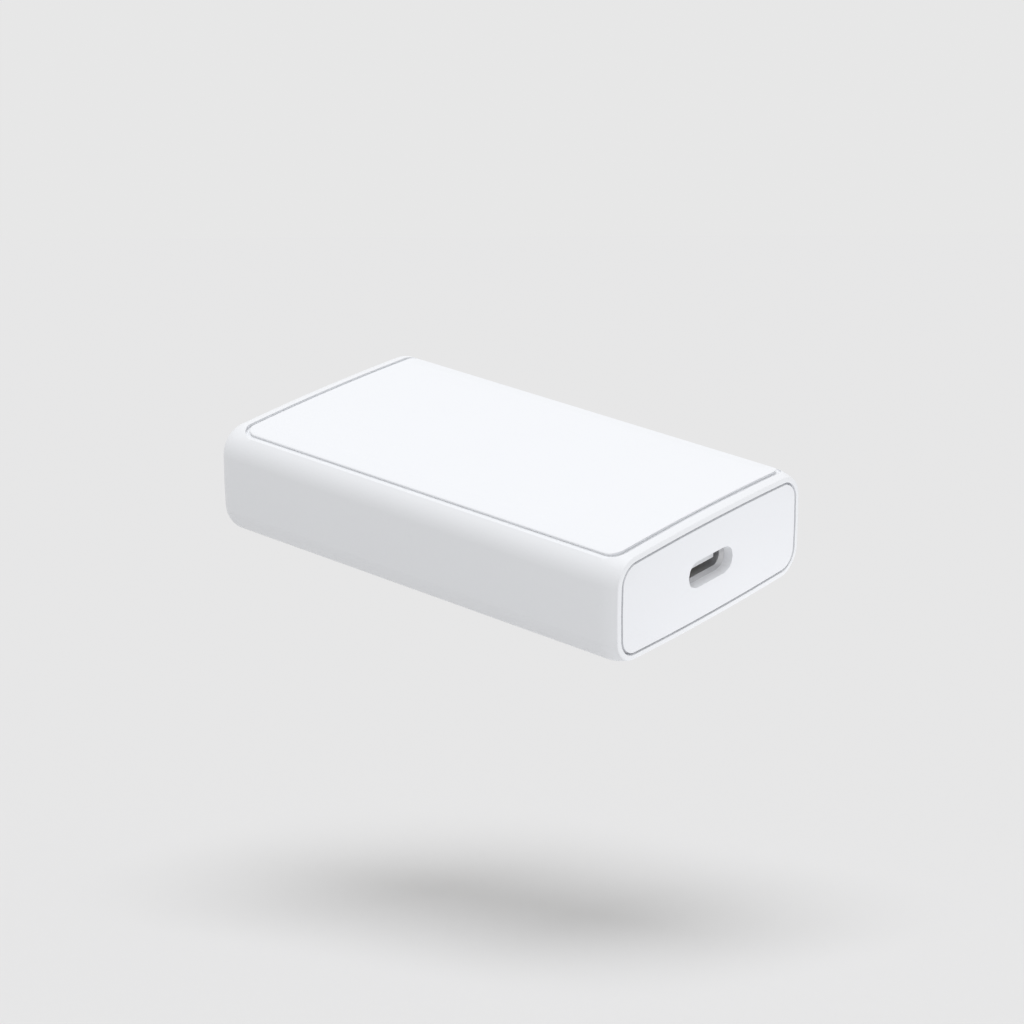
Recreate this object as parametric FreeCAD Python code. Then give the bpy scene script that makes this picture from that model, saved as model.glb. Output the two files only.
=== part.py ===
import FreeCAD, Part
import math
import os

V = FreeCAD.Vector

# Overall form: it lies on its underside, the port end towards +X
length = 69.2
width = 40.0
height = 16.0
crown_radius = 480.0
side_radius = 90.0
corner_radius = 4.2
far_edge_radius = 2.7
roll_length = 2.8
roll_depth = 0.68

# Shell walls and the mouth that takes the end cap
wall = 2.0
end_wall = 2.0
mouth_wall = 1.3
cap_thickness = 2.2
seam_gap = 0.25

# Top panel, flush in a recess with an open groove all round and hardly any lip along the sides
recess_side_margin = 1.73
recess_port_margin = 1.16
recess_far_margin = 2.9
recess_corner = 2.4
panel_thickness = 0.5
panel_gap = 0.6
lip_height = 0.04

# Snap tabs of the end cap
tab_width = 12.0
tab_thickness = 1.0
tab_length = 3.4

# Charging port
port_hole_width = 9.23
port_hole_height = 3.55
port_hole_depth = 1.6
shell_width = 8.94
shell_height = 3.26
shell_wall = 0.3
shell_length = 7.4
flare_length = 1.05
flare_step = 0.23
flare_wall = 0.16
shell_leg_width = 1.1
shell_leg_length = 1.6
tongue_width = 6.69
tongue_thickness = 0.7
tongue_depth = 2.15
insulator_length = 2.6
contact_count = 12
contact_pitch = 0.5
contact_width = 0.25
contact_thickness = 0.06
contact_length = 3.2

# Folding plug
blade_thickness = 1.5
blade_width = 6.35
blade_length = 16.6
blade_pitch = 12.7
blade_tip_radius = 1.6
blade_tail_width = 2.4
hinge_inset = 9.0
barrel_radius = 3.2
barrel_recess = 0.4
barrel_shoulder = 0.5
trunnion_radius = 1.3
trunnion_length = 0.7
trunnion_clearance = 0.05
swing_clearance = 0.25

# Plug bay that is let into the underside
bay_wall = 0.9
bay_roof = 1.0
bay_corner = 2.0
bay_flange = 1.0
scoop_radius = 6.5
scoop_depth = 3.2
scoop_setback = 4.5
leaf_width = 2.2
leaf_thickness = 0.3
leaf_foot = 2.2
leaf_gap = 0.15

# Circuit boards and the rails that carry the main one
board_thickness = 1.0
input_board_thickness = 0.8
input_overhang = 2.4
rail_width = 1.0
rail_height = 1.2
pin_width = 0.64
pin_count = 4
pin_pitch = 3.2

# Parts on the input board
safety_box_length = 4.0
safety_box_width = 9.0
safety_box_height = 3.1
fuse_width = 2.8
fuse_length = 8.0
fuse_cap = 1.6
choke_radius = 1.55
choke_hub_radius = 0.8
choke_length = 6.0
rectifier_length = 4.6
rectifier_width = 4.2
rectifier_height = 1.5

# Parts on the main board
bulk_radius = 3.15
bulk_length = 24.0
seal_length = 1.2
core_length = 14.0
core_width = 18.0
core_height = 6.0
core_plate = 1.2
core_leg = 1.4
post_width = 5.6
bobbin_wall = 0.4
winding_width = 13.2
winding_corner = 2.4
coupler_length = 4.6
coupler_width = 6.5
coupler_height = 2.1
disc_radius = 2.6
disc_thickness = 2.4
can_radius = 3.15
can_height = 5.4
port_chip_size = 4.0
port_chip_height = 0.9
sync_length = 4.9
sync_width = 3.9
sync_height = 1.5

# Heat path below the main board
switch_length = 8.0
switch_width = 6.0
switch_height = 0.9
controller_length = 4.9
controller_width = 3.9
controller_height = 1.2
spreader_thickness = 0.8
spreader_length = 24.0
spreader_width = 26.0

# Clearances
fit_gap = 0.15
seat_gap = 0.05
part_gap = 0.4
lead_thickness = 0.2

# Places that follow from the sizes above
port_end = length / 2
far_end = -length / 2
axis_z = height / 2
cap_inner = port_end - cap_thickness
roll_start = port_end - roll_length
inner_half = width / 2 - wall
hinge_x = far_end + hinge_inset
hinge_z = barrel_radius + barrel_recess
blade_reach = hinge_z + blade_length
barrel_half = blade_pitch / 2 + blade_thickness / 2 + barrel_shoulder
cavity_half = barrel_half + swing_clearance
cavity_radius = barrel_radius + swing_clearance
slot_end = hinge_x + math.hypot(blade_reach, blade_width / 2) + swing_clearance
slot_top = max(hinge_z + blade_width / 2, hinge_z + barrel_radius) + swing_clearance
bay_far = hinge_x - cavity_radius - bay_wall
bay_near = slot_end + bay_wall
bay_half = max(cavity_half, barrel_half + trunnion_length + fit_gap) + bay_wall
bay_top = slot_top + bay_roof
shell_mouth = port_end - port_hole_depth
shell_rear = shell_mouth - shell_length
flare_x = shell_mouth - flare_length
flare_width = shell_width + 2 * flare_step
flare_height = shell_height + 2 * flare_step
board_top = axis_z - shell_height / 2
board_bottom = board_top - board_thickness
board_half = inner_half - fit_gap
board_front = min(cap_inner - part_gap, flare_x)
board_far = far_end + end_wall + part_gap
input_top = bay_top + input_board_thickness
input_half = bay_half - part_gap

parts = {}


def box(x0, x1, y0, y1, z0, z1):
    return Part.makeBox(x1 - x0, y1 - y0, z1 - z0, V(x0, y0, z0))


def rod_x(radius, x0, x1, y, z):
    return Part.makeCylinder(radius, x1 - x0, V(x0, y, z), V(1, 0, 0))


def rod_y(radius, x, z, half):
    return Part.makeCylinder(radius, 2 * half, V(x, -half, z), V(0, 1, 0))


def edges_along(shape, direction):
    """The straight edges of a shape that run along one axis."""
    found = []
    for edge in shape.Edges:
        span = edge.Vertexes[-1].Point - edge.Vertexes[0].Point
        if span.Length > 0 and abs(span.normalize().dot(direction)) > 0.999:
            found.append(edge)
    return found


def slab(x0, x1, half, z0, z1, corner):
    """A plate with round corners, level, centred on the X axis."""
    plate = box(x0, x1, -half, half, z0, z1)
    return plate.makeFillet(corner, edges_along(plate, V(0, 0, 1)))


def profile_y(points, y0, y1):
    """A closed outline of (x, z) points, drawn out along Y."""
    corners = [V(x, y0, z) for x, z in points]
    face = Part.Face(Part.makePolygon(corners + corners[:1]))
    return face.extrude(V(0, y1 - y0, 0))


def turned(points, base, axis):
    """A closed outline of (radius, height) points, turned about an axis from base."""
    corners = [V(r, 0, h) for r, h in points]
    solid = Part.Face(Part.makePolygon(corners + corners[:1])).revolve(V(0, 0, 0), V(0, 0, 1), 360)
    solid.Placement = FreeCAD.Placement(base, FreeCAD.Rotation(V(0, 0, 1), axis))
    return solid


def outline(x, inset):
    """The crowned cross-section at x, drawn in evenly by inset."""
    crown = V(x, 0, height / 2 - crown_radius)
    side = V(x, width / 2 - side_radius, 0)
    span = side - crown
    away = span.Length
    crown_reach = crown_radius - corner_radius
    side_reach = side_radius - corner_radius
    along = (crown_reach ** 2 - side_reach ** 2 + away ** 2) / (2 * away)
    across = math.sqrt(crown_reach ** 2 - along ** 2)
    span.normalize()
    corner = crown + span * along + V(0, span.z, -span.y) * across
    up = (corner - crown).normalize()
    out = (corner - side).normalize()
    top = crown + up * (crown_radius - inset)
    flank = side + out * (side_radius - inset)
    shoulder = corner + (up + out).normalize() * (corner_radius - inset)

    def at(point, y_sign, z_sign):
        return V(x, y_sign * point.y, axis_z + z_sign * point.z)

    edges = []
    for y_sign, z_sign in ((1, 1), (1, -1), (-1, -1), (-1, 1)):
        bend = [at(p, y_sign, z_sign) for p in (top, shoulder, flank)]
        if y_sign == z_sign:
            middle = V(x, y_sign * (width / 2 - inset), axis_z)
            finish = at(flank, y_sign, -z_sign)
        else:
            bend.reverse()
            middle = V(x, 0, axis_z + z_sign * (height / 2 - inset))
            finish = at(top, -y_sign, z_sign)
        edges.append(Part.Arc(*bend).toShape())
        edges.append(Part.Arc(bend[2], middle, finish).toShape())
    return Part.Wire(edges)


def core_of(x0, x1, inset):
    """The straight form between two places, drawn in by inset."""
    return Part.Face(outline(x0, inset)).extrude(V(x1 - x0, 0, 0))


def slot_wire(w, h, x):
    """A slot-shaped outline across X, round the port's axis."""
    flat = (w - h) / 2
    low, high = axis_z - h / 2, axis_z + h / 2
    right = Part.Arc(V(x, flat, low), V(x, w / 2, axis_z), V(x, flat, high)).toShape()
    top = Part.makeLine(V(x, flat, high), V(x, -flat, high))
    left = Part.Arc(V(x, -flat, high), V(x, -w / 2, axis_z), V(x, -flat, low)).toShape()
    bottom = Part.makeLine(V(x, -flat, low), V(x, flat, low))
    return Part.Wire([right, top, left, bottom])


def stadium(w, h, x0, x1):
    """A slot-shaped bar along X through the port's axis."""
    return Part.Face(slot_wire(w, h, x0)).extrude(V(x1 - x0, 0, 0))


def flare(w, h, mouth_w, mouth_h):
    """The slot-shaped bar between the port's bore and its mouth, growing towards the mouth."""
    return Part.makeLoft([slot_wire(w, h, flare_x), slot_wire(mouth_w, mouth_h, shell_mouth)], True, True)


def square_ring(x, y, outer_width, inner_width, z0, z1):
    """A level square ring round an upright post at (x, y)."""
    half, hole = outer_width / 2, inner_width / 2
    ring = box(x - half, x + half, y - half, y + half, z0, z1)
    return ring.cut(box(x - hole, x + hole, y - hole, y + hole, z0, z1))


def floor_at(y):
    """Height of the inner floor's crowned face at a place across the width."""
    inner_crown = crown_radius - wall
    return wall + inner_crown - math.sqrt(inner_crown ** 2 - y ** 2)


def chip(x, y, z, size_x, size_y, tall, legs, facing=1):
    """A moulded package with bent legs on both long sides, on a board face at z."""
    stand = lead_thickness / 2
    pitch = size_x / legs
    solid = box(x - size_x / 2, x + size_x / 2, y - size_y / 2, y + size_y / 2, z + stand, z + tall)
    for row in range(legs):
        centre = x + pitch * (row + 0.5 - legs / 2)
        for side in (-1, 1):
            root = y + side * (size_y / 2 - lead_thickness)
            knee = y + side * (size_y / 2 + 2 * lead_thickness)
            toe = y + side * (size_y / 2 + 4 * lead_thickness)
            x0, x1 = centre - pitch / 4, centre + pitch / 4
            middle = z + tall / 2
            arm = box(x0, x1, min(root, knee), max(root, knee), middle - lead_thickness, middle)
            shin_near = knee - side * lead_thickness
            shin = box(x0, x1, min(shin_near, knee), max(shin_near, knee), z, middle)
            foot = box(x0, x1, min(shin_near, toe), max(shin_near, toe), z, z + lead_thickness)
            solid = solid.fuse([arm, shin, foot])
    solid = solid.removeSplitter()
    if facing < 0:
        solid = solid.mirror(V(0, 0, z), V(0, 0, 1))
    return solid


# Outer form: a straight crowned bar, rounded at the far end, drawn in softly at the port end
straight = core_of(far_end, roll_start, 0)
far_edges = [e for e in straight.Edges if abs(e.BoundBox.XMax - far_end) < seat_gap]
straight = straight.makeFillet(far_edge_radius, far_edges)
roll_steps = [step / 2 for step in range(3)]
rings = [outline(roll_start + roll_length * u, roll_depth * u * u) for u in roll_steps]
outer = straight.fuse(Part.makeLoft(rings, True)).removeSplitter()

# Bed of the top panel: a crowned floor that comes up almost level with the lip along both sides
recess_half = width / 2 - recess_side_margin
plumb = Part.makeLine(V(0, recess_half, axis_z), V(0, recess_half, height + wall))
lip_z = outer.common(plumb).BoundBox.ZMax
bed_top = height - panel_thickness
bed_fall = bed_top - lip_z + lip_height
bed_radius = (recess_half ** 2 + bed_fall ** 2) / (2 * bed_fall)
bed = rod_x(bed_radius, far_end - wall, port_end + wall, 0, bed_top - bed_radius)
skin = outer.cut(bed)


def skin_patch(groove):
    """What lies over the bed inside the recess outline, held back by the groove."""
    x0 = far_end + recess_far_margin + groove
    x1 = port_end - recess_port_margin - groove
    return skin.common(slab(x0, x1, recess_half - groove, axis_z, height + wall, recess_corner - groove))


# Top panel: a plate on the bed, flush with the crowned top
parts["top_panel"] = skin_patch(panel_gap)

# Housing: a one-piece sleeve, closed at the far end, open at the port end
window_corner = bay_corner + fit_gap
window = slab(bay_far - fit_gap, bay_near + fit_gap, bay_half + fit_gap, -wall, axis_z, window_corner)
housing = outer.cut(core_of(far_end + end_wall, port_end + wall, wall))
housing = housing.cut(core_of(cap_inner, port_end + wall, mouth_wall))
housing = housing.cut(skin_patch(0))
housing = housing.cut(window)
for side in (-1, 1):
    y_wall = side * (width / 2 - wall / 2)
    y_lip = side * (inner_half - rail_width)
    rail = box(board_far, board_front - tab_length, min(y_wall, y_lip), max(y_wall, y_lip),
               board_bottom - rail_height, board_bottom)
    housing = housing.fuse(rail)
parts["housing"] = housing.removeSplitter()

# End cap: a plate on the mouth's ledge with a port hole, a pocket for the shell and two snap tabs
plate = core_of(cap_inner, port_end, mouth_wall + seam_gap)
tab_zone = box(cap_inner - tab_length, cap_inner, -tab_width / 2, tab_width / 2, 0, height)
tabs = core_of(cap_inner - tab_length, cap_inner, wall + fit_gap).common(tab_zone)
tabs = tabs.cut(core_of(cap_inner - tab_length, cap_inner, wall + fit_gap + tab_thickness))
cap = plate.fuse(tabs).removeSplitter()
cap = cap.cut(stadium(port_hole_width, port_hole_height, cap_inner - wall, port_end + wall))
pocket_width = max(flare_width, port_hole_width) + 2 * fit_gap
pocket_height = max(flare_height, port_hole_height) + 2 * fit_gap
parts["end_cap"] = cap.cut(stadium(pocket_width, pocket_height, cap_inner - wall, shell_mouth))

# Blades: flat strips with round tips and a narrow tail that ends on the barrel's round
blades = {}
blade_low, blade_high = hinge_z - blade_width / 2, hinge_z + blade_width / 2
for name, side in (("blade_left", 1), ("blade_right", -1)):
    y = side * blade_pitch / 2
    y0, y1 = y - blade_thickness / 2, y + blade_thickness / 2
    strip = box(hinge_x, hinge_x + blade_reach, y0, y1, blade_low, blade_high)
    tips = [e for e in edges_along(strip, V(0, 1, 0)) if e.BoundBox.XMin > hinge_x + seat_gap]
    strip = strip.makeFillet(blade_tip_radius, tips)
    tail_half = blade_tail_width / 2
    tail = box(hinge_x - barrel_radius, hinge_x, y0, y1, hinge_z - tail_half, hinge_z + tail_half)
    tail = tail.common(rod_y(barrel_radius, hinge_x, hinge_z, barrel_half))
    blades[name] = strip.fuse(tail).removeSplitter()
parts.update(blades)

# Blade carrier: a barrel across the bay with a trunnion at each end
carrier = rod_y(barrel_radius, hinge_x, hinge_z, barrel_half)
carrier = carrier.fuse(rod_y(trunnion_radius, hinge_x, hinge_z, barrel_half + trunnion_length))
parts["blade_carrier"] = carrier.cut(list(blades.values())).removeSplitter()

# Hollow of the plug bay: room for the barrel, the blades' swing and the trunnions
hollow = rod_y(cavity_radius, hinge_x, hinge_z, cavity_half)
below = box(hinge_x - cavity_radius, hinge_x + cavity_radius, -cavity_half, cavity_half, -wall, hinge_z)
bearing_half = barrel_half + trunnion_length + fit_gap
bearing = rod_y(trunnion_radius + trunnion_clearance, hinge_x, hinge_z, bearing_half)
hollow = hollow.fuse([below, bearing])
for side in (-1, 1):
    y = side * blade_pitch / 2
    half = blade_thickness / 2 + swing_clearance
    hollow = hollow.fuse(box(hinge_x, slot_end, y - half, y + half, -wall, slot_top))

# Plug bay: the lower half of the bearing, flush with the underside, with a finger scoop
flange_half = bay_half + bay_flange
flange_z = floor_at(flange_half) + seat_gap
bay = slab(bay_far, bay_near, bay_half, 0, hinge_z, bay_corner)
flange = slab(bay_far - bay_flange, bay_near + bay_flange, flange_half, flange_z, hinge_z, bay_corner)
scoop_x = hinge_x + blade_reach - scoop_setback
scoop = rod_y(scoop_radius, scoop_x, scoop_depth - scoop_radius, blade_pitch / 2)
parts["plug_bay"] = bay.fuse(flange).cut(hollow).cut(scoop).removeSplitter()

# Bay cover: the upper half of the bearing, with a slit over the barrel for each contact leaf
cover = slab(bay_far, bay_near, bay_half, hinge_z, bay_top, bay_corner).cut(hollow)
slit_half_x = cavity_radius
for side in (-1, 1):
    y = side * blade_pitch / 2
    half = leaf_width / 2 + fit_gap
    slit = box(hinge_x - slit_half_x, hinge_x + slit_half_x, y - half, y + half, hinge_z, bay_top)
    cover = cover.cut(slit)
parts["bay_cover"] = cover.removeSplitter()

# Contact leaves: sprung strips on the cover that dip to the barrel, where the blade tails arrive
leaf_low = hinge_z + barrel_radius + leaf_gap
dip_half = leaf_foot / 2
lower_edge = [
    (hinge_x - slit_half_x - leaf_foot / 2, bay_top),
    (hinge_x - slit_half_x + fit_gap, bay_top),
    (hinge_x - dip_half, leaf_low),
    (hinge_x + dip_half, leaf_low),
    (hinge_x + slit_half_x - fit_gap, bay_top),
    (hinge_x + slit_half_x + leaf_foot, bay_top),
]
upper_edge = [(x, z + leaf_thickness) for x, z in reversed(lower_edge)]
for name, side in (("contact_leaf_left", 1), ("contact_leaf_right", -1)):
    y = side * blade_pitch / 2
    parts[name] = profile_y(lower_edge + upper_edge, y - leaf_width / 2, y + leaf_width / 2)

# Input board: on the bay cover, reaching past it over the main board
input_far = hinge_x + slit_half_x + leaf_foot + seat_gap
input_near = bay_near + input_overhang
parts["input_board"] = box(input_far, input_near, -input_half, input_half, bay_top, input_top)

# Link pins: from the main board up to the input board's overhang
pin_x = bay_near + input_overhang / 2 + fit_gap
pins = []
for index in range(pin_count):
    y = pin_pitch * (index - (pin_count - 1) / 2)
    half = pin_width / 2
    pins.append(box(pin_x - half, pin_x + half, y - half, y + half, board_top, bay_top))
parts["link_pins"] = Part.makeCompound(pins)

# Safety capacitor: a boxed film capacitor at the input board's far edge
box_x = input_far + part_gap
safety = box(box_x, box_x + safety_box_length, -safety_box_width / 2, safety_box_width / 2,
             input_top, input_top + safety_box_height)
upright = edges_along(safety, V(0, 0, 1))
parts["safety_capacitor"] = safety.makeFillet(part_gap, upright)

# Fuse: a square ceramic body with a metal cap on each end, across the board
fuse_x = box_x + safety_box_length + part_gap + fuse_width / 2
fuse_y = fuse_length / 2
cap_half = fuse_width / 2
body_half = cap_half - lead_thickness
fuse = box(fuse_x - body_half, fuse_x + body_half, -fuse_y, fuse_y,
           input_top + lead_thickness, input_top + fuse_width - lead_thickness)
for y in (-fuse_y, fuse_y - fuse_cap):
    cap_end = box(fuse_x - cap_half, fuse_x + cap_half, y, y + fuse_cap, input_top, input_top + fuse_width)
    fuse = fuse.fuse(cap_end)
parts["fuse"] = fuse.removeSplitter()

# Input choke: a drum core with its winding between the flanges
choke_x = fuse_x + fuse_width / 2 + part_gap + choke_radius
choke_y = -input_half + part_gap
drum_flange = choke_length / 8
drum_outline = [
    (0, 0),
    (choke_radius, 0),
    (choke_radius, drum_flange),
    (choke_hub_radius, drum_flange),
    (choke_hub_radius, choke_length - drum_flange),
    (choke_radius, choke_length - drum_flange),
    (choke_radius, choke_length),
    (0, choke_length),
]
choke_base = V(choke_x, choke_y, input_top + choke_radius)
parts["choke_core"] = turned(drum_outline, choke_base, V(0, 1, 0))
coil_radius = choke_radius - fit_gap
coil_outline = [
    (choke_hub_radius + seat_gap, drum_flange + seat_gap),
    (coil_radius, drum_flange + seat_gap),
    (coil_radius, choke_length - drum_flange - seat_gap),
    (choke_hub_radius + seat_gap, choke_length - drum_flange - seat_gap),
]
parts["choke_winding"] = turned(coil_outline, choke_base, V(0, 1, 0))

# Bridge rectifier: a low package beside the choke
rectifier_x = fuse_x + fuse_width / 2 + part_gap + rectifier_length / 2
rectifier_y = input_half - part_gap - rectifier_width / 2 - 4 * lead_thickness
parts["bridge_rectifier"] = chip(rectifier_x, rectifier_y, input_top, rectifier_length, rectifier_width,
                                 rectifier_height, 2)

# Main board: on the rails, forked round the plug bay, slotted for the port's legs
board = box(board_far, board_front, -board_half, board_half, board_bottom, board_top)
fork_half = bay_half + part_gap
fork = box(board_far - wall, bay_near + part_gap, -fork_half, fork_half, board_bottom, board_top)
board = board.cut(fork)
leg_places = [shell_mouth - shell_length / 4, shell_rear + shell_leg_width]
leg_y = shell_width / 2
legs = []
for x in leg_places:
    for side in (-1, 1):
        y0 = min(side * leg_y, side * (leg_y - shell_wall))
        half = shell_leg_width / 2
        leg_low = axis_z - shell_leg_length - shell_wall
        slot = box(x - half - fit_gap, x + half + fit_gap, y0 - fit_gap, y0 + shell_wall + fit_gap,
                   board_bottom, board_top)
        if x + half < board_front:
            board = board.cut(slot)
        legs.append(box(x - half, x + half, y0, y0 + shell_wall, leg_low, axis_z))
parts["main_board"] = board

# Port shell: a drawn metal tube on four legs, its flared mouth against the end cap
bore_width = shell_width - 2 * shell_wall
bore_height = shell_height - 2 * shell_wall
mouth_width = flare_width - 2 * flare_wall
mouth_height = flare_height - 2 * flare_wall
shell = stadium(shell_width, shell_height, shell_rear, flare_x)
shell = shell.fuse(legs + [flare(shell_width, shell_height, flare_width, flare_height)])
bore = stadium(bore_width, bore_height, shell_rear - wall, flare_x)
shell = shell.cut(bore).cut(flare(bore_width, bore_height, mouth_width, mouth_height))
parts["port_shell"] = shell.removeSplitter()

# Port insulator: a block in the shell's rear with the tongue that stands in the mouth
block = stadium(bore_width, bore_height, shell_rear, shell_rear + insulator_length)
tongue_tip = port_end - tongue_depth
tongue = box(shell_rear, tongue_tip, -tongue_width / 2, tongue_width / 2,
             axis_z - tongue_thickness / 2, axis_z + tongue_thickness / 2)
parts["port_insulator"] = block.fuse(tongue).removeSplitter()

# Port contacts: two rows of strips on the tongue's faces
strips = []
strip_front = tongue_tip - part_gap
for index in range(contact_count):
    y = contact_pitch * (index - (contact_count - 1) / 2)
    y0, y1 = y - contact_width / 2, y + contact_width / 2
    for side in (-1, 1):
        face = axis_z + side * tongue_thickness / 2
        skin_z = face + side * contact_thickness
        low, high = min(face, skin_z), max(face, skin_z)
        strips.append(box(strip_front - contact_length, strip_front, y0, y1, low, high))
parts["port_contacts"] = Part.makeCompound(strips)

# Bulk capacitors: slim cans lying on the two arms of the board, each with a seal in its end
seal_radius = bulk_radius - 2 * lead_thickness
bulk_outline = [
    (0, 0),
    (bulk_radius, 0),
    (bulk_radius, bulk_length - seal_length),
    (seal_radius, bulk_length - seal_length),
    (seal_radius, bulk_length),
    (0, bulk_length),
]
bulk_y = board_half - bulk_radius - part_gap
for name, side in (("bulk_capacitor_left", 1), ("bulk_capacitor_right", -1)):
    base = V(board_far + part_gap, side * bulk_y, board_top + bulk_radius + seat_gap)
    parts[name] = turned(bulk_outline, base, V(1, 0, 0))

# Transformer: a two-plate core with a square post, a spool on the post and its winding
core_x = bay_near + input_overhang + part_gap + core_length / 2
core_y = -(board_half - part_gap - core_width / 2)
core_x0, core_x1 = core_x - core_length / 2, core_x + core_length / 2
core_y0, core_y1 = core_y - core_width / 2, core_y + core_width / 2
post_half = post_width / 2
room_z0, room_z1 = board_top + core_plate, board_top + core_height - core_plate
core = box(core_x0, core_x1, core_y0, core_y1, board_top, board_top + core_height)
core = core.cut(box(core_x0, core_x1, core_y0 + core_leg, core_y1 - core_leg, room_z0, room_z1))
post = box(core_x - post_half, core_x + post_half, core_y - post_half, core_y + post_half,
           room_z0, room_z1)
parts["transformer_core"] = core.fuse(post).removeSplitter()
spool_z0, spool_z1 = room_z0 + seat_gap, room_z1 - seat_gap
spool_bore = post_width + 2 * seat_gap
hub_width = spool_bore + 2 * bobbin_wall
spool_width = winding_width + 2 * lead_thickness
spool = square_ring(core_x, core_y, hub_width, spool_bore, spool_z0, spool_z1)
for z in (spool_z0, spool_z1 - bobbin_wall):
    spool = spool.fuse(square_ring(core_x, core_y, spool_width, spool_bore, z, z + bobbin_wall))
parts["transformer_spool"] = spool.removeSplitter()
winding_z0, winding_z1 = spool_z0 + bobbin_wall + seat_gap, spool_z1 - bobbin_wall - seat_gap
winding = square_ring(core_x, core_y, winding_width, hub_width + 2 * seat_gap, winding_z0, winding_z1)
outer_x = winding_width / 2 - seat_gap
outside = [e for e in edges_along(winding, V(0, 0, 1)) if abs(e.CenterOfMass.x - core_x) > outer_x]
parts["transformer_winding"] = winding.makeFillet(winding_corner, outside)

# Feedback coupler and bridging disc capacitor: across the isolation gap beside the transformer
coupler_x = core_x0 + coupler_length / 2
coupler_y = board_half - part_gap - coupler_width / 2 - 4 * lead_thickness
parts["feedback_coupler"] = chip(coupler_x, coupler_y, board_top, coupler_length, coupler_width,
                                 coupler_height, 2)
disc_x = coupler_x + coupler_length / 2 + part_gap
disc_z = board_top + seat_gap + disc_radius
parts["bridging_capacitor"] = rod_x(disc_radius, disc_x, disc_x + disc_thickness, coupler_y, disc_z)

# Output capacitors: upright cans on both sides of the port, each on its seal
can_foot = can_radius - lead_thickness
can_outline = [
    (0, 0),
    (can_foot, 0),
    (can_foot, seal_length),
    (can_radius, seal_length),
    (can_radius, can_height),
    (0, can_height),
]
can_x = board_front - part_gap - can_radius
can_y = shell_width / 2 + part_gap + shell_wall + can_radius
for name, side in (("output_capacitor_left", 1), ("output_capacitor_right", -1)):
    parts[name] = turned(can_outline, V(can_x, side * can_y, board_top), V(0, 0, 1))

# Port controller and synchronous rectifier: low packages between the transformer and the port
port_chip_x = shell_rear - part_gap - port_chip_size / 2
parts["port_controller"] = chip(port_chip_x, 0, board_top, port_chip_size, port_chip_size,
                                port_chip_height, 3)
sync_x = disc_x + disc_thickness + part_gap + sync_length / 2
parts["sync_rectifier"] = chip(sync_x, coupler_y, board_top, sync_length, sync_width, sync_height, 4)

# Power switch and primary controller: below the board, on the heat path
switch_x = bay_near + bay_flange + part_gap + switch_length / 2
parts["power_switch"] = chip(switch_x, 0, board_bottom, switch_length, switch_width, switch_height, 4, -1)
controller_x = switch_x + switch_length / 2 + part_gap + controller_length / 2
parts["primary_controller"] = chip(controller_x, 0, board_bottom, controller_length, controller_width,
                                   controller_height, 3, -1)

# Heat spreader: a plate on the inner floor, with a soft pad up to the power switch
spreader_x0 = bay_near + bay_flange + part_gap
spreader_z0 = floor_at(spreader_width / 2) + seat_gap
spreader_z1 = spreader_z0 + spreader_thickness
parts["heat_spreader"] = box(spreader_x0, spreader_x0 + spreader_length,
                             -spreader_width / 2, spreader_width / 2, spreader_z0, spreader_z1)
parts["thermal_pad"] = box(switch_x - switch_length / 2, switch_x + switch_length / 2,
                           -switch_width / 2, switch_width / 2, spreader_z1, board_bottom - switch_height)

# One file for each piece
os.makedirs("parts", exist_ok=True)
for node, shape in parts.items():
    shape.exportStep(f"parts/{node}.step")
    print(node, len(shape.Solids), shape.isValid(), round(shape.Volume, 2))
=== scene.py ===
import bmesh
import bpy
import math
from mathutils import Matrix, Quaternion, Vector


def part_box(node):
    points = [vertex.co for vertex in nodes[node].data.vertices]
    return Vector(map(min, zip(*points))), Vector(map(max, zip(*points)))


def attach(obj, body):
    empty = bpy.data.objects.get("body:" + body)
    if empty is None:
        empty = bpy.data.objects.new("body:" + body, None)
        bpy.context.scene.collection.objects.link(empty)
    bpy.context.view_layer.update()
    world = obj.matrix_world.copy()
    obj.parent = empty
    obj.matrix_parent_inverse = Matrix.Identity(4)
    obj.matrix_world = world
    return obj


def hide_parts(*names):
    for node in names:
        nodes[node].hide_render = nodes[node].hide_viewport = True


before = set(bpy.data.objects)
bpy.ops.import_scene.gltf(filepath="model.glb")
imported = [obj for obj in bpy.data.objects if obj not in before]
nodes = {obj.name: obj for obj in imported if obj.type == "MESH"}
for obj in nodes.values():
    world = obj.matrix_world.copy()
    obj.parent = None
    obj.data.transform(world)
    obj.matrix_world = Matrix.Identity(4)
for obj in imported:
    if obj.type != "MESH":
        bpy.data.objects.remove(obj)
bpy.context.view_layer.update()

# Housing: one moulded sleeve of satin white plastic, crowned on all four sides, with a closed far end.
# The port end is drawn in softly and left open for the end cap. A recess in the top takes the panel,
# and a window in the underside takes the plug bay.
MM = 0.001
shell_low, shell_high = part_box("housing")
panel_low, panel_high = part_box("top_panel")
bay_low, bay_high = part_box("bay_cover")
half_width = (shell_high.y - shell_low.y) / 2
half_height = (shell_high.z - shell_low.z) / 2
mid_z = shell_low.z + half_height
crown_radius = 480 * MM
side_radius = 90 * MM
corner_radius = 4.2 * MM
far_edge_radius = 2.7 * MM
roll_length = 2.8 * MM
roll_depth = 0.68 * MM
rim_edge = 0.22 * MM
rim_rise = 0.06 * MM
wall = 2.0 * MM
mouth_wall = 1.3 * MM
mouth_depth = 2.2 * MM
groove_width = 0.6 * MM
groove_edge = 0.08 * MM
mouth_edge = groove_edge / 3
recess_corner = 2.4 * MM
panel_thickness = 0.56 * MM
lip_height = 0.04 * MM
undercut = 0.2 * MM
window_gap = 0.15 * MM
window_corner = 2.15 * MM
brim = 0.35 * MM

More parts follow.
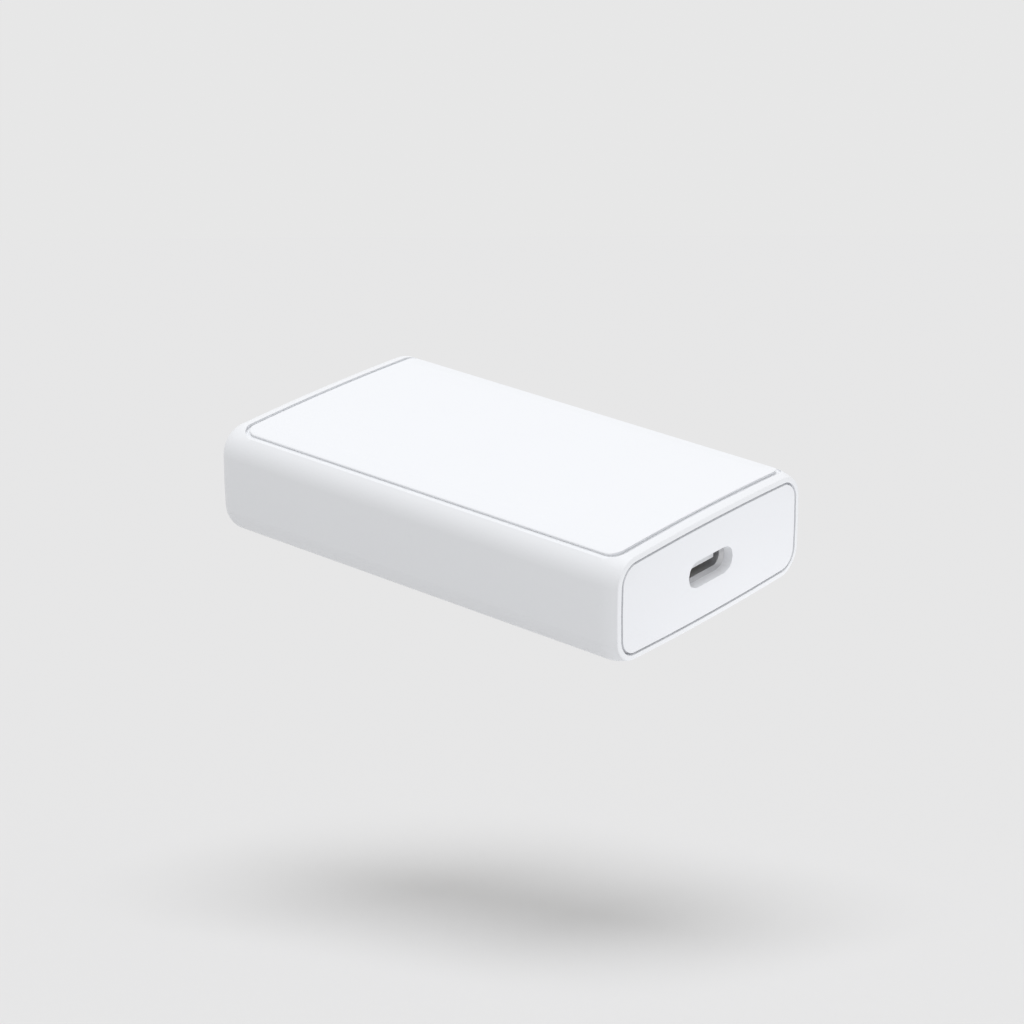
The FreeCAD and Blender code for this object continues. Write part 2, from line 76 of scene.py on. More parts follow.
# Cross-section: a wide arc over the top, a rounder one down each side, and a corner arc that meets both
crown_z = half_height - crown_radius
side_y = half_width - side_radius
between = math.hypot(side_y, crown_z)
crown_reach = crown_radius - corner_radius
along = (crown_reach ** 2 - (side_radius - corner_radius) ** 2 + between ** 2) / (2 * between)
across = math.sqrt(crown_reach ** 2 - along ** 2)
corner_y = (along * side_y - across * crown_z) / between
corner_z = crown_z - (along * crown_z + across * side_y) / between
crown_turn = math.asin(corner_y / crown_reach)
side_turn = math.acos(corner_z / (side_radius - corner_radius))


def section(turn, inset):
    """Point (y, z) of the cross-section where its face leans by turn from straight up.
    The whole section is drawn in by inset."""
    lean = min(abs(turn), math.pi - abs(turn))
    if lean < crown_turn:
        y, z, radius = 0, crown_z, crown_radius - inset
    elif lean < side_turn:
        y, z, radius = corner_y, corner_z, corner_radius - inset
    else:
        y, z, radius = side_y, 0, side_radius - inset
    y += radius * math.sin(lean)
    z += radius * math.cos(lean)
    return math.copysign(y, turn), mid_z + (z if abs(turn) <= math.pi / 2 else -z)


def turn_at(y, inset=0):
    """How far the top face leans at a distance y from the middle."""
    if y <= (crown_radius - inset) * math.sin(crown_turn):
        return math.asin(y / (crown_radius - inset))
    return math.asin((y - corner_y) / (corner_radius - inset))


def draw_in(x):
    """How far the form is drawn in at x: the far end's round and the port end's soft roll."""
    far = shell_low.x + far_edge_radius - x
    roll = x - (shell_high.x - roll_length)
    if far > 0:
        return far_edge_radius - math.sqrt(max(far_edge_radius ** 2 - far ** 2, 0))
    return roll_depth * (max(roll, 0) / roll_length) ** 2


def top_height(x, y, inset=0):
    """Height of the top face, or of a face that lies evenly below it."""
    depth = draw_in(x) + inset
    return section(turn_at(abs(y), depth), depth)[1]


def spread(start, stop, steps):
    """Values from start to stop in even steps."""
    return [start + (stop - start) * step / steps for step in range(steps + 1)]


def add_object(name, data):
    made = bpy.data.objects.new(name, data)
    bpy.context.scene.collection.objects.link(made)
    return made


class Moulding:
    """Gathers the loops and faces of one piece and makes it an object that rides on its body."""
    merge_gap = 0.0005 * MM

    def __init__(self):
        self.points = []
        self.faces = []

    def loop(self, points):
        start = len(self.points)
        self.points.extend(points)
        return list(range(start, len(self.points)))

    def bridge(self, first, second):
        for i in range(len(first)):
            self.faces.append((first[i - 1], first[i], second[i], second[i - 1]))

    def chain(self, loops):
        for first, second in zip(loops, loops[1:]):
            self.bridge(first, second)

    def cap(self, loop):
        self.faces.append(tuple(loop))

    def piece(self, name, material, body, slot, *replaced, crease=35):
        mesh = bpy.data.meshes.new(name)
        mesh.from_pydata(self.points, [], self.faces)
        work = bmesh.new()
        work.from_mesh(mesh)
        bmesh.ops.remove_doubles(work, verts=work.verts, dist=self.merge_gap)
        bmesh.ops.recalc_face_normals(work, faces=work.faces)
        for face in work.faces:
            face.smooth = True
        work.to_mesh(mesh)
        work.free()
        mesh.set_sharp_from_angle(angle=math.radians(crease))
        mesh.materials.append(material)
        made = add_object(name, mesh)
        weighted = made.modifiers.new("even_shading", "WEIGHTED_NORMAL")
        weighted.weight = 80
        weighted.keep_sharp = True
        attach(made, body)
        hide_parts(*replaced)
        return made


def rounded(ring, low_x, high_x, half, corner, zone):
    """Maps a rectangular ring of (x, y) points to (point, outward) pairs on a round-cornered outline.
    Points within zone of the ring's corners go round the corner."""
    ring_low = min(x for x, y in ring)
    ring_high = max(x for x, y in ring)
    ring_half = max(y for x, y in ring)
    stretch_x = (high_x - low_x - 2 * corner) / (ring_high - ring_low - 2 * zone)
    stretch_y = (half - corner) / (ring_half - zone)
    slack = 0.001 * MM
    straight = []
    for x, y in ring:
        if abs(y) <= ring_half - zone + slack:
            end = low_x if x - ring_low < ring_high - x else high_x
            outward = Vector((math.copysign(1, x - (low_x + high_x) / 2), 0))
            straight.append((Vector((end, y * stretch_y)), outward))
        elif ring_low + zone - slack <= x <= ring_high - zone + slack:
            run = low_x + corner + (x - ring_low - zone) * stretch_x
            side = math.copysign(1, y)
            straight.append((Vector((run, side * half)), Vector((0, side))))
        else:
            straight.append(None)
    count = len(ring)
    placed = list(straight)
    for i in range(count):
        if straight[i] is None:
            back = next(k for k in range(1, count) if straight[i - k])
            ahead = next(k for k in range(1, count) if straight[(i + k) % count])
            swing = math.pi / 2 * back / (back + ahead)
            start, finish = straight[i - back][1], straight[(i + ahead) % count][1]
            outward = start * math.cos(swing) + finish * math.sin(swing)
            centre = straight[i - back][0] - start * corner
            placed[i] = (centre + outward * corner, outward)
    return placed


class Wire:
    """One socket of a material's nodes. Sums on it add Math nodes, and make adds any other node."""

    def __init__(self, tree, socket=None):
        self.tree = tree
        self.socket = socket

    def make(self, kind, settings=None, inputs=None, output=0):
        node = self.tree.nodes.new(kind)
        for name, value in (settings or {}).items():
            setattr(node, name, value)
        for name, value in (inputs or {}).items():
            if isinstance(value, Wire):
                self.tree.links.new(value.socket, node.inputs[name])
            else:
                node.inputs[name].default_value = value
        return Wire(self.tree, node.outputs[output]) if node.outputs else None

    def sum(self, operation, first, second):
        return self.make("ShaderNodeMath", {"operation": operation}, {0: first, 1: second})

    def __add__(self, other):
        return self.sum("ADD", self, other)

    def __radd__(self, other):
        return self.sum("ADD", other, self)

    def __mul__(self, other):
        return self.sum("MULTIPLY", self, other)

    def __rmul__(self, other):
        return self.sum("MULTIPLY", other, self)

    def mix(self, factor, first, second):
        return self.make("ShaderNodeMix", {"data_type": "RGBA"}, {0: factor, 6: first, 7: second}, 2)


def new_material(name):
    material = bpy.data.materials.new(name)
    material.use_nodes = True
    material.node_tree.nodes.clear()
    return material, Wire(material.node_tree)


def place_on(wire):
    return wire.make("ShaderNodeTexCoord", output="Object")


def noise(wire, place, scale, detail, rough=0.5):
    values = {"Vector": place, "Scale": scale, "Detail": detail, "Roughness": rough}
    return wire.make("ShaderNodeTexNoise", {}, values)


def relief(wire, height, strength, depth):
    return wire.make("ShaderNodeBump", {}, {"Strength": strength, "Distance": depth, "Height": height})


def coat(wire, values):
    """Ends a material's nodes in one surface with the given values."""
    surface = wire.make("ShaderNodeBsdfPrincipled", {}, values)
    wire.make("ShaderNodeOutputMaterial", {}, {"Surface": surface})


def satin_plastic(name, colour, shade, rough):
    """Moulded plastic: a fine sparked texture from the tool, with faint clouding of colour and gloss."""
    material, wire = new_material(name)
    place = place_on(wire)
    grain = noise(wire, place, 5200, 2, 0.6)
    cloud = noise(wire, place, 90, 3)
    coat(wire, {
        "Base Color": wire.mix(cloud, (*shade, 1), (*colour, 1)),
        "Roughness": rough - 0.05 + 0.06 * cloud + 0.05 * grain,
        "IOR": 1.46,
        "Specular IOR Level": 0.4,
        "Normal": relief(wire, grain, 0.12, 0.01 * MM),
    })
    return material


shell_white = satin_plastic("shell_white", (0.896, 0.905, 0.923), (0.884, 0.892, 0.910), 0.46)

recess_low = panel_low.x - groove_width
recess_high = panel_high.x + groove_width
recess_half = panel_high.y + groove_width
window_low = bay_low.x - window_gap
window_high = bay_high.x + window_gap
window_half = bay_high.y + window_gap

# Stations round the cross-section, from the top's middle down the right side to the underside's middle
top_edge = recess_half + brim
under_edge = window_half + brim
right = [turn_at(y) for y in spread(0, recess_half - recess_corner, 10)]
right += [turn_at(y) for y in spread(recess_half - recess_corner, top_edge, 10)[1:]]
top_stations = len(right) - 1
right += spread(turn_at(top_edge), math.pi / 2, 14)[1:]
right += spread(math.pi / 2, math.pi - turn_at(under_edge), 22)[1:]
under_start = len(right) - 1
right += [math.pi - turn_at(y) for y in spread(under_edge, window_half - window_corner, 6)[1:]]
right += [math.pi - turn_at(y) for y in spread(window_half - window_corner, 0, 5)[1:]]
stations = right + [-turn for turn in reversed(right[1:-1])]
over_top = list(range(-top_stations, top_stations + 1))
over_under = list(range(under_start, len(stations) - under_start + 1))


def ring_at(x, inset):
    return [(x, *section(turn, inset)) for turn in stations]


# Rings along the length: fixed ones where something starts or ends, and others to fill between
ring_spacing = 0.12 * MM
rim_x = shell_high.x - rim_rise
roll_start = shell_high.x - roll_length
recess_ends = (recess_low - brim, recess_low + recess_corner,
               recess_high - recess_corner, recess_high + brim)
window_ends = (window_low - brim, window_low + window_corner,
               window_high - window_corner, window_high + brim)
far_turns = spread(math.pi / 2, 0, 10)
rings = [shell_low.x + far_edge_radius * (1 - math.sin(turn)) for turn in far_turns]
rings += [*recess_ends, *window_ends, roll_start, rim_x - rim_edge]
rings.sort()
fill_rings = spread(recess_ends[0], recess_ends[1], 9)
fill_rings += spread(window_ends[0], window_ends[1], 6)
fill_rings += spread(window_ends[1], window_ends[2], 8)
fill_rings += spread(window_ends[2], window_ends[3], 6)
fill_rings += spread(window_ends[3], recess_ends[2], 12)
fill_rings += spread(recess_ends[2], recess_ends[3], 9)
fill_rings += spread(roll_start, rim_x - rim_edge, 8)
for x in fill_rings:
    if min(abs(x - other) for other in rings) > ring_spacing:
        rings.append(x)
rings.sort()

housing = Moulding()


def skin(ring_list, insets, holes):
    """Rings joined into a skin, with holes given as (first ring, last ring, stations).
    Returns the loops."""
    loops = [housing.loop(ring_at(x, inset)) for x, inset in zip(ring_list, insets)]
    count = len(stations)
    closed = set()
    for first, last, span in holes:
        for j in range(first, last):
            closed.update((j, i % count) for i in span[:-1])
    for j, (near, far) in enumerate(zip(loops, loops[1:])):
        for i in range(count):
            if (j, i) not in closed:
                after = (i + 1) % count
                housing.faces.append((near[i], near[after], far[after], far[i]))
    return loops


def hole_ring(loops, ring_list, first, last, span):
    """The vertices round a hole in a skin, with their places (x, y) on the plain form."""
    count = len(stations)
    path = [(first, i) for i in span[:-1]]
    path += [(j, span[-1]) for j in range(first, last)]
    path += [(last, i) for i in reversed(span[1:])]
    path += [(j, span[0]) for j in range(last, first, -1)]
    vertices = [loops[j][i % count] for j, i in path]
    places = [(ring_list[j], section(stations[i % count], 0)[0]) for j, i in path]
    return vertices, places


recess_span = (rings.index(recess_ends[0]), rings.index(recess_ends[3]), over_top)
window_span = (rings.index(window_ends[0]), rings.index(window_ends[3]), over_under)
outer = skin(rings, [draw_in(x) for x in rings], [recess_span, window_span])
housing.cap(outer[0])

# Rim of the port end: a small round, a face that rises slightly inwards, then the mouth and its ledge
edge_turns = spread(0, math.pi / 2, 4)[1:]
end_inset = draw_in(rim_x - rim_edge)
rim_slope = math.atan2(rim_rise, mouth_wall - mouth_edge - end_inset - rim_edge)
rim = [outer[-1]]
for turn in spread(0, math.pi / 2 - rim_slope, 5)[1:]:
    x = rim_x - rim_edge * (1 - math.sin(turn))
    rim.append(housing.loop(ring_at(x, end_inset + rim_edge * (1 - math.cos(turn)))))
rim.append(housing.loop(ring_at(shell_high.x, mouth_wall - mouth_edge)))
for turn in edge_turns:
    x = shell_high.x - mouth_edge * (1 - math.cos(turn))
    rim.append(housing.loop(ring_at(x, mouth_wall - mouth_edge * (1 - math.sin(turn)))))
rim.append(housing.loop(ring_at(shell_high.x - mouth_depth, mouth_wall)))
housing.chain(rim)

# Inner skin: the hollow behind the mouth, open at the window
inner_low = shell_low.x + wall
inner_high = shell_high.x - mouth_depth
ring_room = 0.2 * MM
inner_rings = [inner_low]
inner_rings += [x for x in rings if inner_low + ring_room < x < inner_high - ring_room]
inner_rings += [inner_high]
inner_span = (inner_rings.index(window_ends[0]), inner_rings.index(window_ends[3]), over_under)
inner = skin(inner_rings, [wall] * len(inner_rings), [inner_span])
housing.cap(inner[0])
housing.bridge(rim[-1], inner[-1])

# Recess for the panel: a small round at its brink, walls that are undercut across the ends, and a crowned
# bed that comes up almost level with the lip along both sides
brink, places = hole_ring(outer, rings, *recess_span)
recess_line = rounded(places, recess_low, recess_high, recess_half, recess_corner, recess_corner + brim)
bed_inset = 2 * groove_width
bed_top = shell_high.z - panel_thickness
bed_fall = bed_top - top_height(0, recess_half) + lip_height
bed_radius = (recess_half ** 2 + bed_fall ** 2) / (2 * bed_fall)


def bed_height(y):
    return bed_top - bed_radius + math.sqrt(bed_radius ** 2 - y ** 2)


def recess_loop(offset, drop, lean=0):
    """A loop along the recess's outline, a little below the top face but no lower than the bed.
    The walls across the ends lean out by lean."""
    points = []
    for point, outward in recess_line:
        x, y = point + outward * offset
        x += outward.x * lean
        points.append((x, y, max(top_height(x, y) - drop, bed_height(y))))
    return housing.loop(points)


pocket = [brink]
for turn in [0] + edge_turns:
    pocket.append(recess_loop(groove_edge * (1 - math.sin(turn)), groove_edge * (1 - math.cos(turn))))
for offset in (0, -groove_edge, -bed_inset):
    pocket.append(recess_loop(offset, panel_thickness, undercut))
housing.chain(pocket)
housing.cap(pocket[-1])

# Window for the plug bay: straight through the floor
brink, places = hole_ring(outer, rings, *window_span)
inner_brink = hole_ring(inner, inner_rings, *inner_span)[0]
window_line = rounded(places, window_low, window_high, window_half, window_corner, window_corner + brim)


def window_loop(offset, rise, inset=0):
    """A loop along the window's outline, a little above the underside or above a face inset from it."""
    points = []
    for point, outward in window_line:
        x, y = point + outward * offset
        points.append((x, y, 2 * mid_z - top_height(x, y, inset) + rise))
    return housing.loop(points)


passage = [brink]
for turn in [0] + edge_turns:
    passage.append(window_loop(groove_edge * (1 - math.sin(turn)), groove_edge * (1 - math.cos(turn))))
passage += [window_loop(0, 0, wall), inner_brink]
housing.chain(passage)
housing.piece("housing_sleeve", shell_white, "charger", "shell_white", "housing")

# Top panel: a thin plate of the same white plastic, glued into the recess so that it lies flush with the
# crowned top, with softly rounded edges and an open groove all round.
panel_white = satin_plastic("panel_white", (0.903, 0.914, 0.934), (0.895, 0.905, 0.925), 0.44)
panel_corner = recess_corner - groove_width
panel_edge = 0.07 * MM
flat_inset = 4 * panel_edge
frame_width = 2.4 * MM
panel_zone = 2.0 * MM
panel = Moulding()
grid_low, grid_high = panel_low.x + frame_width, panel_high.x - frame_width
grid_half = panel_high.y - frame_width
columns = spread(grid_low, grid_low + panel_zone, 6)
columns += spread(grid_low + panel_zone, grid_high - panel_zone, 30)[1:]
columns += spread(grid_high - panel_zone, grid_high, 6)[1:]
lines = spread(-grid_half, panel_zone - grid_half, 6)
lines += spread(panel_zone - grid_half, grid_half - panel_zone, 16)[1:]
lines += spread(grid_half - panel_zone, grid_half, 6)[1:]
field = [panel.loop([(x, y, top_height(x, y)) for y in lines]) for x in columns]
for near, far in zip(field, field[1:]):
    for i in range(len(lines) - 1):
        panel.faces.append((near[i], near[i + 1], far[i + 1], far[i]))
path = [(0, i) for i in range(len(lines) - 1)]
path += [(j, len(lines) - 1) for j in range(len(columns) - 1)]
path += [(len(columns) - 1, i) for i in range(len(lines) - 1, 0, -1)]
path += [(j, 0) for j in range(len(columns) - 1, 0, -1)]
panel_ring = [(columns[j], lines[i]) for j, i in path]
panel_line = rounded(panel_ring, panel_low.x, panel_high.x, panel_high.y, panel_corner, panel_zone)


def panel_loop(offset, drop):
    """A loop along the panel's outline, a little below its top face but no lower than the bed."""
    points = []
    for point, outward in panel_line:
        x, y = point + outward * offset
        points.append((x, y, max(top_height(x, y) - drop, bed_height(y))))
    return panel.loop(points)


sheet = [[field[j][i] for j, i in path], panel_loop(-flat_inset, 0)]
for turn in reversed([0] + edge_turns):
    sheet.append(panel_loop(-panel_edge * (1 - math.cos(turn)), panel_edge * (1 - math.sin(turn))))
sheet += [panel_loop(-undercut, panel_thickness), panel_loop(-frame_width, panel_thickness)]
panel.chain(sheet)
panel.cap(sheet[-1])
panel.piece("panel_plate", panel_white, "charger", "panel_white", "top_panel")

# End cap: a flat moulded plate that snaps into the mouth against its ledge, flush with the rim.
# A thin joint shows round it, as deep as the shoulder of the plate, and the slot for the charging plug
# goes through its middle.
cap_white = satin_plastic("cap_white", (0.897, 0.905, 0.926), (0.888, 0.895, 0.916), 0.46)
joint_ease = 0.08 * MM
joint_depth = 0.95 * MM
cap_edge = 0.03 * MM
cap_fit = 0.02 * MM
port_width = 9.07 * MM
port_height = 3.39 * MM
port_depth = 1.25 * MM
port_draft = 0.17 * MM
port_edge = 0.03 * MM
pocket_grow = 0.63 * MM
face_x = shell_high.x
cap_inset = half_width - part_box("end_cap")[1].y + joint_ease
end_cap = Moulding()


def slot_ring(x, width, height, angles):
    """A slot-shaped loop across the port's axis, with one point in each of the given directions."""
    flat = (width - height) / 2
    radius = height / 2
    points = []
    for angle in angles:
        y, z = math.cos(angle), math.sin(angle)
        if abs(y) * radius <= abs(z) * flat:
            reach = radius / abs(z)
        else:
            reach = flat * abs(y) + math.sqrt(radius ** 2 - (flat * z) ** 2)
        points.append((x, y * reach, mid_z + z * reach))
    return points


cap_ring = ring_at(face_x, cap_inset + cap_edge)
bearings = [math.atan2(z - mid_z, y) for x, y, z in cap_ring]


def port_ring(x, grow):
    return slot_ring(x, port_width + grow, port_height + grow, bearings)


# The plate's loops go from its back over the shoulder and the face into the slot, and round to the back
cap_rings = [
    ring_at(face_x - mouth_depth, mouth_wall + cap_fit),
    ring_at(face_x - joint_depth, mouth_wall + cap_fit),
    ring_at(face_x - joint_depth, cap_inset),
]
for turn in [0] + edge_turns:
    x = face_x - cap_edge * (1 - math.sin(turn))
    cap_rings.append(ring_at(x, cap_inset + cap_edge * (1 - math.cos(turn))))
mouth_grow = 2 * port_draft
slot_brink = port_ring(face_x, mouth_grow + 2 * port_edge)
for share in spread(0, 1, 5)[1:-1]:
    cap_rings.append([
        (face_x, a[1] + (b[1] - a[1]) * share, a[2] + (b[2] - a[2]) * share)
        for a, b in zip(cap_ring, slot_brink)
    ])
for turn in [0] + edge_turns:
    x = face_x - port_edge * (1 - math.cos(turn))
    cap_rings.append(port_ring(x, mouth_grow + 2 * port_edge * (1 - math.sin(turn))))
cap_rings.append(port_ring(face_x - port_depth, 0))
cap_rings.append(port_ring(face_x - port_depth, pocket_grow))
cap_rings.append(port_ring(face_x - mouth_depth, pocket_grow))
cap_loops = [end_cap.loop(ring) for ring in cap_rings]
end_cap.chain(cap_loops + cap_loops[:1])
end_cap.piece("end_plate", cap_white, "charger", "cap_white", "end_cap")

# Charging port: a drawn steel shell with a flared mouth, and inside it a light moulded block whose
# tongue carries two rows of gilt contacts. The shell stands on the main board.
def drawn_streak(wire, stretch, detail):
    """Fine streaks along the object's length, as a die or a roller leaves them in metal."""
    drawn = wire.make("ShaderNodeMapping", {}, {"Vector": place_on(wire), "Scale": stretch})
    return noise(wire, drawn, 1, detail)


port_metal, wire = new_material("port_metal")
streak = drawn_streak(wire, (300, 9000, 9000), 3)
coat(wire, {
    "Base Color": wire.mix(streak, (0.60, 0.60, 0.61, 1), (0.68, 0.68, 0.69, 1)),
    "Metallic": 1.0,
    "Roughness": 0.48 + 0.10 * streak,
    "Normal": relief(wire, streak, 0.1, 0.004 * MM),
})

tube_low, tube_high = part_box("port_shell")
tube_width = 8.94 * MM
tube_height = 3.26 * MM
tube_wall = 0.3 * MM
tube_gap = 0.004 * MM
tube_points = 192
flare_length = 0.6 * MM
flare_wall = 0.16 * MM
flare_grow = tube_high.y - tube_low.y - tube_width
round_bearings = [math.tau * step / tube_points for step in range(tube_points)]
tube = Moulding()


def tube_loop(x, grow):
    return tube.loop(slot_ring(x, tube_width + grow, tube_height + grow, round_bearings))


bore = -2 * tube_wall
mouth_x = face_x - port_depth - tube_gap
flare_x = mouth_x - flare_length
tube_loops = [tube_loop(tube_low.x, bore), tube_loop(flare_x, bore)]
tube_loops += [tube_loop(mouth_x, flare_grow - 2 * flare_wall), tube_loop(mouth_x, flare_grow)]
tube_loops += [tube_loop(flare_x, 0), tube_loop(tube_low.x, 0)]
tube.chain(tube_loops + tube_loops[:1])
tube.piece("port_tube", port_metal, "charger", "port_metal", "port_shell", crease=8)


def dress(material, *names, eased=0):
    """Gives solids of the frame a finish. Those that show also get their sharp edges eased."""
    for name in names:
        piece = nodes[name]
        piece.data.materials.clear()
        piece.data.materials.append(material)
        if eased:
            edge = piece.modifiers.new("eased_edges", "BEVEL")
            edge.width = eased
            edge.segments = 2
            edge.limit_method = "ANGLE"
            edge.angle_limit = math.radians(40)
            edge.harden_normals = True


def speckled(name, colour, fleck, scale, rough, metallic=0.0):
    """A finish with a fine fleck in its colour and gloss."""
    material, wire = new_material(name)
    fine = noise(wire, place_on(wire), scale, 4, 0.6)
    coat(wire, {
        "Base Color": wire.mix(fine, (*colour, 1), (*fleck, 1)),
        "Metallic": metallic,
        "Roughness": rough - 0.08 + 0.16 * fine,
        "Normal": relief(wire, fine, 0.15, 0.01 * MM),
    })
    return material


dress(speckled("port_moulding", (0.80, 0.81, 0.82), (0.74, 0.75, 0.76), 2400, 0.5), "port_insulator")
dress(speckled("gold_contact", (0.80, 0.72, 0.54), (0.74, 0.65, 0.46), 3000, 0.3, 1.0), "port_contacts")

# Plug bay and its cover: two moulded halves that hold the hinge between them. The lower half is let into
# the underside, with a slot for each blade and a scoop for a finger.
bay_white = satin_plastic("bay_white", (0.890, 0.898, 0.915), (0.878, 0.886, 0.903), 0.5)
moulded_edge = 0.06 * MM
dress(bay_white, "plug_bay", eased=moulded_edge)
dress(bay_white, "bay_cover")

# Folding plug: a moulded carrier that turns across the bay on two short trunnions, with two flat blades
# set in it. The blades are nickel-plated brass, rolled and then stamped.
carrier_white = satin_plastic("carrier_white", (0.882, 0.890, 0.906), (0.870, 0.878, 0.894), 0.48)
dress(carrier_white, "blade_carrier", eased=moulded_edge)
blade_metal, wire = new_material("blade_metal")
streak = drawn_streak(wire, (400, 7000, 7000), 4)
wear = noise(wire, place_on(wire), 260, 5)
coat(wire, {
    "Base Color": wire.mix(wear, (0.70, 0.68, 0.64, 1), (0.80, 0.79, 0.76, 1)),
    "Metallic": 1.0,
    "Roughness": 0.16 + 0.14 * streak + 0.08 * wear,
    "Normal": relief(wire, streak, 0.08, 0.004 * MM),
})
blade_edge = 0.08 * MM
dress(blade_metal, "blade_left", "blade_right", eased=blade_edge)

# Contact leaves and link pins: sprung bronze strips that dip through the bay cover to the carrier's barrel,
# and square pins of the same metal that join the two boards.
dress(speckled("leaf_metal", (0.78, 0.56, 0.34), (0.66, 0.45, 0.26), 1800, 0.32, 1.0),
      "contact_leaf_left", "contact_leaf_right", "link_pins")

# Circuit boards: glass laminate under a green lacquer. The small one lies on the bay cover,
# and the main one on rails in the housing.
dress(speckled("board_green", (0.02, 0.13, 0.06), (0.035, 0.17, 0.08), 1500, 0.38),
      "input_board", "main_board")

# Parts on the boards: capacitors, fuse, choke, transformer and moulded packages, each in its usual finish.
# They are soldered down. The heat spreader lies on the housing's floor, with a soft pad between it
# and the power switch.
dress(speckled("film_yellow", (0.72, 0.55, 0.12), (0.78, 0.62, 0.18), 900, 0.45), "safety_capacitor")
dress(speckled("fuse_ceramic", (0.80, 0.79, 0.74), (0.86, 0.85, 0.81), 1600, 0.55), "fuse")
dress(speckled("ferrite", (0.045, 0.045, 0.05), (0.08, 0.08, 0.085), 2600, 0.65),
      "choke_core", "transformer_core")
dress(speckled("copper_wire", (0.62, 0.27, 0.12), (0.72, 0.36, 0.18), 1200, 0.35, 1.0), "choke_winding")
dress(speckled("winding_tape", (0.78, 0.60, 0.10), (0.84, 0.68, 0.16), 700, 0.4), "transformer_winding")
dress(speckled("can_sleeve", (0.045, 0.05, 0.07), (0.07, 0.075, 0.10), 800, 0.35),
      "bulk_capacitor_left", "bulk_capacitor_right")
dress(speckled("can_metal", (0.72, 0.72, 0.74), (0.80, 0.80, 0.82), 2200, 0.34, 1.0),
      "output_capacitor_left", "output_capacitor_right")
dress(speckled("disc_blue", (0.08, 0.22, 0.48), (0.12, 0.28, 0.56), 900, 0.3), "bridging_capacitor")
dress(speckled("package_black", (0.018, 0.018, 0.02), (0.03, 0.03, 0.032), 3000, 0.55),
      "bridge_rectifier", "feedback_coupler", "port_controller", "sync_rectifier", "power_switch",
      "primary_controller", "transformer_spool")
dress(speckled("spreader_metal", (0.70, 0.70, 0.71), (0.78, 0.78, 0.79), 1800, 0.4, 1.0),
      "heat_spreader")
dress(speckled("pad_grey", (0.40, 0.42, 0.45), (0.46, 0.48, 0.51), 1400, 0.75), "thermal_pad")

# Camera: a long lens that looks down on the port end and the near long side, from as far away as
# the object's slight perspective tells.
camera_azimuth = math.radians(39.91)
camera_elevation = math.radians(23.95)
camera_roll = math.radians(0.29)
camera_lens = 119.76
camera_offset = Vector((235.37, -321.25, 184.45)) * MM
port_centre = Vector((shell_high.x, 0, mid_z))
level = Vector((-math.sin(camera_azimuth), math.cos(camera_azimuth), 0))
towards = level * math.cos(camera_elevation) - Vector((0, 0, math.sin(camera_elevation)))
lens = bpy.data.cameras.new("camera")
lens.lens = camera_lens
lens.clip_start = 0.01
lens.clip_end = 20
camera = add_object("camera", lens)
camera.location = port_centre + camera_offset
camera.rotation_mode = "QUATERNION"
camera.rotation_quaternion = towards.to_track_quat("-Z", "Y") @ Quaternion((0, 0, 1), -camera_roll)
bpy.context.scene.camera = camera
bpy.context.scene.view_settings.view_transform = "Standard"

# Stage: a pale matte floor some way below, so that the object hangs over its own soft shadow.
# It falls away gently behind the object, which keeps the shadow low, and is clear when seen from below.
floor_drop = 52.5 * MM
floor_reach = 4.0
floor_fall = math.radians(18)
floor_grey = (0.768, 0.763, 0.756)
floor_bounce = 0.64


def face_along(thing, direction):
    """Turns a thing's upper side to the given direction."""
    thing.rotation_mode = "QUATERNION"
    thing.rotation_quaternion = direction.to_track_quat("Z", "Y")


def in_sight(wire):
    """1 for what the camera sees, straight or in metal and glass, and 0 for light on its way."""
    seen = wire.make("ShaderNodeLightPath", output="Is Camera Ray")
    for kind in ("Is Glossy Ray", "Is Transmission Ray"):
        seen = seen + wire.make("ShaderNodeLightPath", output=kind)
    return seen


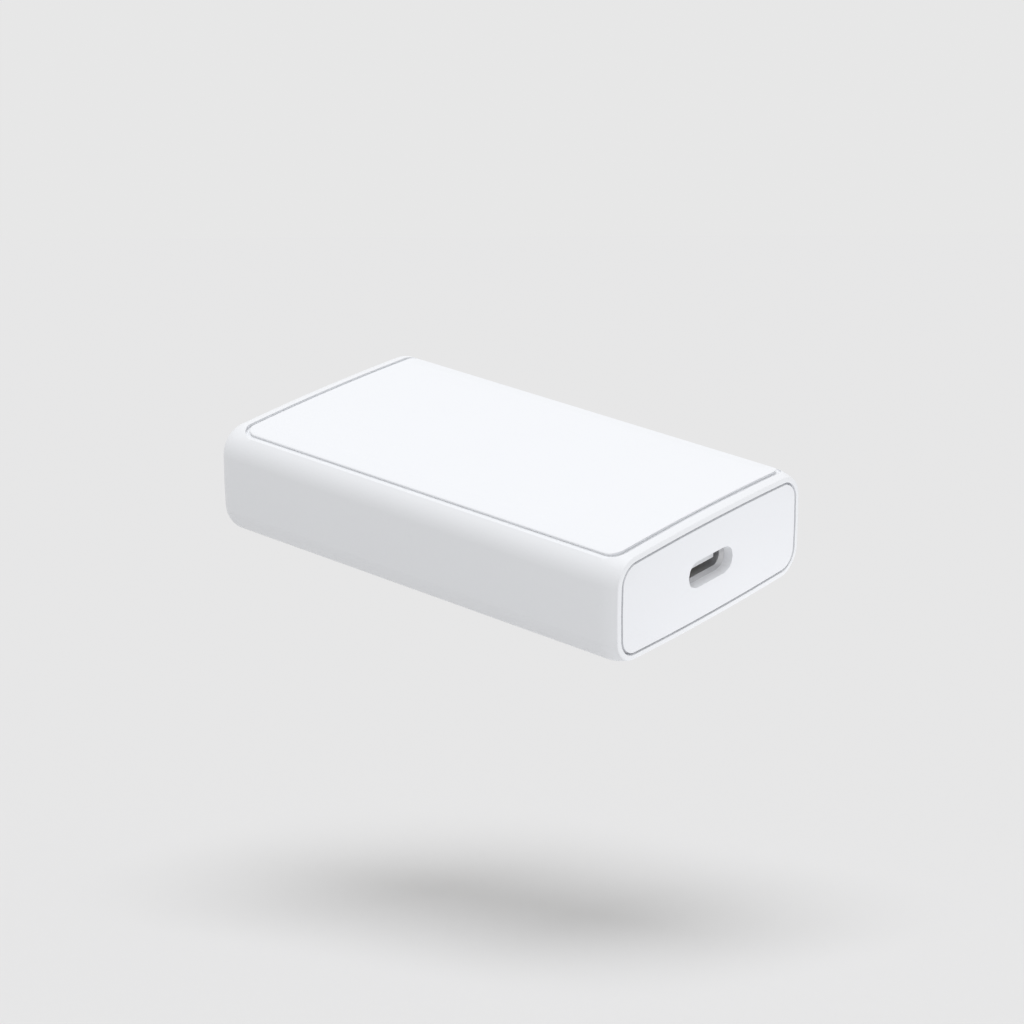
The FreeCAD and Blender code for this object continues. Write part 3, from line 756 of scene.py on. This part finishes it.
floor_mesh = bpy.data.meshes.new("floor")
floor_corners = [(x * floor_reach, y * floor_reach, 0) for x, y in ((-1, -1), (1, -1), (1, 1), (-1, 1))]
floor_mesh.from_pydata(floor_corners, [], [(0, 1, 2, 3)])
floor = add_object("floor", floor_mesh)
floor.location = (0, 0, shell_low.z - floor_drop)
floor_up = Vector((0, 0, math.cos(floor_fall))) + level * math.sin(floor_fall)
face_along(floor, floor_up)
floor_paint, wire = new_material("floor_paint")
tone = wire.mix(in_sight(wire), (floor_bounce, floor_bounce, floor_bounce, 1), (*floor_grey, 1))
matte = wire.make("ShaderNodeBsdfDiffuse", {}, {"Color": tone})
clear = wire.make("ShaderNodeBsdfTransparent")
behind = wire.make("ShaderNodeNewGeometry", output="Backfacing")
surface = wire.make("ShaderNodeMixShader", {}, {0: behind, 1: matte, 2: clear})
wire.make("ShaderNodeOutputMaterial", {}, {"Surface": surface})
floor_mesh.materials.append(floor_paint)

# Light: a soft lamp overhead that leans a little away from the camera, a low panel of light in front of
# the port end, and an even pale surround that the camera sees as the same grey as the floor.
overhead_strength = 1.17
overhead_angle = math.radians(45)
overhead_lean = math.radians(6)
panel_light_strength = 0.0565
panel_light_size = (0.10, 0.20)
panel_light_reach = 80 * MM
panel_light_lift = 3 * MM
surround_strength = 0.68
backdrop_grey = 0.80
lamp_tint = (0.985, 1.0, 1.035)


def hang(name, kind, strength, direction, place=(0, 0, 0)):
    """A lamp of the given kind that shines against the given direction."""
    lamp = bpy.data.lights.new(name, kind)
    lamp.energy = strength
    lamp.color = lamp_tint
    hung = add_object(name, lamp)
    hung.location = place
    face_along(hung, direction)
    return hung


lean = level * math.tan(overhead_lean)
overhead = hang("overhead", "SUN", overhead_strength, Vector((0, 0, 1)) + lean)
overhead.data.angle = overhead_angle
low_x = shell_high.x + panel_light_reach
low_z = floor.location.z - low_x * floor_up.x / floor_up.z + panel_light_lift
low_panel = hang("low_panel", "AREA", panel_light_strength, -floor_up, (low_x, 0, low_z))
low_panel.data.shape = "RECTANGLE"
low_panel.data.size, low_panel.data.size_y = panel_light_size
low_panel.visible_camera = False
surround = bpy.data.worlds.new("surround")
surround.use_nodes = True
surround.node_tree.nodes.clear()
wire = Wire(surround.node_tree)
glow = wire.make("ShaderNodeBackground", {}, {"Strength": surround_strength, "Color": (1, 1, 1, 1)})
backdrop = wire.make("ShaderNodeBackground", {}, {"Strength": backdrop_grey, "Color": (1, 1, 1, 1)})
whole = wire.make("ShaderNodeMixShader", {}, {0: in_sight(wire), 1: glow, 2: backdrop})
wire.make("ShaderNodeOutputWorld", {}, {"Surface": whole})
bpy.context.scene.world = surround
